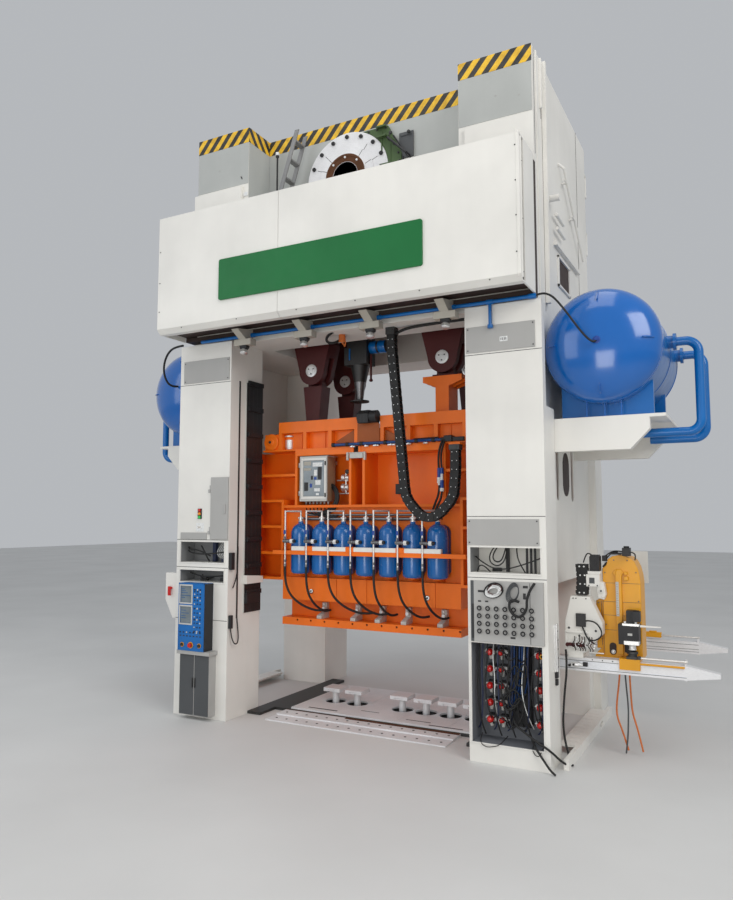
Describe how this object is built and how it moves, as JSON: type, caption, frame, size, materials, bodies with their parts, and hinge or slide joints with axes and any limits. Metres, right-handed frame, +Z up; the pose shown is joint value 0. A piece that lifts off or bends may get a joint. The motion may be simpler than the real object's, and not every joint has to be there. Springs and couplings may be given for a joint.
{
  "type": "transfer press",
  "caption": "Straight-side transfer press: columns, crown with fascia, orange slide on connecting rods, air tanks, balancing bottles and a side transfer unit",
  "frame": {"origin": "on the floor, midway between the four columns", "axes": "+X right along the front, +Y into the press, +Z up"},
  "size_m": [9.163, 4.196, 9],
  "materials": {
    "white_paint": "satin",
    "grey_paint": "satin",
    "orange_paint": "satin",
    "blue_paint": "gloss",
    "maroon_paint": "satin",
    "yellow_paint": "satin",
    "green_paint": "satin",
    "dark_green": "satin",
    "dark_brown_paint": "satin",
    "lamp_beige": "satin",
    "black_paint": "satin",
    "light_grey_paint": "satin",
    "machined_steel": "machined",
    "dark_steel": "oiled",
    "ladder_metal": "brushed",
    "chrome_pipe": "polished",
    "black_plastic": "matt",
    "red_plastic": "gloss"
  },
  "bodies": {
    "frame": {"bed": "dark_steel", "bolster_plates": "machined_steel", "lift_posts": "machined_steel", "front_ledges": "machined_steel", "side_decks": "white_paint", "columns_front": "white_paint", "columns_rear": "white_paint", "casing_front_left": "white_paint", "casing_front_right": "white_paint", "casings_rear": "white_paint", "side_walls": "white_paint", "crown": "white_paint", "fascia": "white_paint", "fascia_frame": "dark_brown_paint", "sign_plate": "green_paint", "casing_panels": "grey_paint", "work_lamps": "lamp_beige", "drive_flange": "machined_steel", "guard_bracket": "dark_green", "access_ladder": "ladder_metal", "crown_fittings": "white_paint", "energy_chain": "black_plastic", "hanging_unit": "dark_steel", "slide_guides": "machined_steel", "air_tanks": "blue_paint", "tank_brackets": "white_paint", "tank_pipes": "blue_paint", "operator_panel": "blue_paint", "side_box": "white_paint", "gauge_panel": "grey_paint", "regulators": "black_paint", "transfer_rails": "machined_steel", "transfer_column": "yellow_paint", "transfer_console": "white_paint"},
    "casing_door": {"casing_door": "grey_paint"},
    "drive_hub": {"drive_hub": "machined_steel"},
    "slide": {"slide": "orange_paint", "slide_beams": "orange_paint", "slide_motor": "black_paint", "lubricator": "orange_paint", "slide_cabinet": "grey_paint", "bottles": "blue_paint", "bottle_rack": "orange_paint", "bottle_pipes": "chrome_pipe", "recess_clamps": "light_grey_paint", "wrist_pins": "machined_steel", "plungers": "maroon_paint", "pedestal": "orange_paint"},
    "cabinet_door": {"cabinet_door": "light_grey_paint"},
    "rod_front_left": {"rod_front_left": "maroon_paint"},
    "rod_front_right": {"rod_front_right": "maroon_paint"},
    "rod_rear_left": {"rod_rear_left": "maroon_paint"},
    "rod_rear_right": {"rod_rear_right": "maroon_paint"},
    "stop_button": {"stop_button": "red_plastic"},
    "start_button_left": {"start_button_left": "black_plastic"},
    "start_button_right": {"start_button_right": "black_plastic"},
    "key_switch": {"key_switch": "chrome_pipe"},
    "disconnect_handle": {"disconnect_handle": "red_plastic"},
    "lift_head": {"lift_head": "black_paint"},
    "clamp_carriage": {"clamp_carriage": "yellow_paint"}
  },
  "joints": [
    {"name": "slide_stroke", "type": "slide", "parent": "frame", "child": "slide", "axis": [0, 0, -1], "range_m": [0, 0.6], "deforming": ["energy_chain"]},
    {"name": "rod_swing_front_left", "type": "hinge", "parent": "slide", "child": "rod_front_left", "pos_m": [-1.11, -0.54, 5.24], "axis": [0, 1, 0], "range_deg": [-6, 6]},
    {"name": "rod_swing_front_right", "type": "hinge", "parent": "slide", "child": "rod_front_right", "pos_m": [1.11, -0.54, 5.24], "axis": [0, 1, 0], "range_deg": [-6, 6]},
    {"name": "rod_swing_rear_left", "type": "hinge", "parent": "slide", "child": "rod_rear_left", "pos_m": [-1.11, 0.54, 5.24], "axis": [0, 1, 0], "range_deg": [-6, 6]},
    {"name": "rod_swing_rear_right", "type": "hinge", "parent": "slide", "child": "rod_rear_right", "pos_m": [1.11, 0.54, 5.24], "axis": [0, 1, 0], "range_deg": [-6, 6]},
    {"name": "drive_turn", "type": "hinge", "parent": "frame", "child": "drive_hub", "pos_m": [-0.252, -1.1, 8.073], "axis": [0, 1, 0], "continuous": true},
    {"name": "casing_door_swing", "type": "hinge", "parent": "frame", "child": "casing_door", "pos_m": [-2.206, -1.7893, 3], "axis": [0, 0, -1], "range_deg": [0, 110]},
    {"name": "cabinet_door_swing", "type": "hinge", "parent": "slide", "child": "cabinet_door", "pos_m": [-1.173, -0.9403, 3.5], "axis": [0, 0, -1], "range_deg": [0, 110]},
    {"name": "stop_press", "type": "slide", "parent": "frame", "child": "stop_button", "axis": [0, 1, 0], "range_m": [0, 0.008], "stiffness_N_per_m": 800},
    {"name": "start_press_left", "type": "slide", "parent": "frame", "child": "start_button_left", "axis": [0, 1, 0], "range_m": [0, 0.008], "stiffness_N_per_m": 600},
    {"name": "start_press_right", "type": "slide", "parent": "frame", "child": "start_button_right", "axis": [0, 1, 0], "range_m": [0, 0.008], "stiffness_N_per_m": 600},
    {"name": "key_turn", "type": "hinge", "parent": "frame", "child": "key_switch", "pos_m": [-2.395, -1.8, 2.78], "axis": [0, 1, 0], "range_deg": [0, 90]},
    {"name": "disconnect_turn", "type": "hinge", "parent": "frame", "child": "disconnect_handle", "pos_m": [-2.96, -1.78, 1.85], "axis": [0, 1, 0], "range_deg": [0, 90]},
    {"name": "lift_travel", "type": "slide", "parent": "frame", "child": "lift_head", "axis": [0, 0, 1], "range_m": [0, 0.25]},
    {"name": "clamp_travel", "type": "slide", "parent": "frame", "child": "clamp_carriage", "axis": [1, 0, 0], "range_m": [0, 0.35]}
  ],
  "couplings": [
    {"joint": "rod_swing_front_right", "follows": "rod_swing_front_left", "ratio": -1},
    {"joint": "rod_swing_rear_left", "follows": "rod_swing_front_left", "ratio": 1},
    {"joint": "rod_swing_rear_right", "follows": "rod_swing_front_left", "ratio": -1}
  ]
}
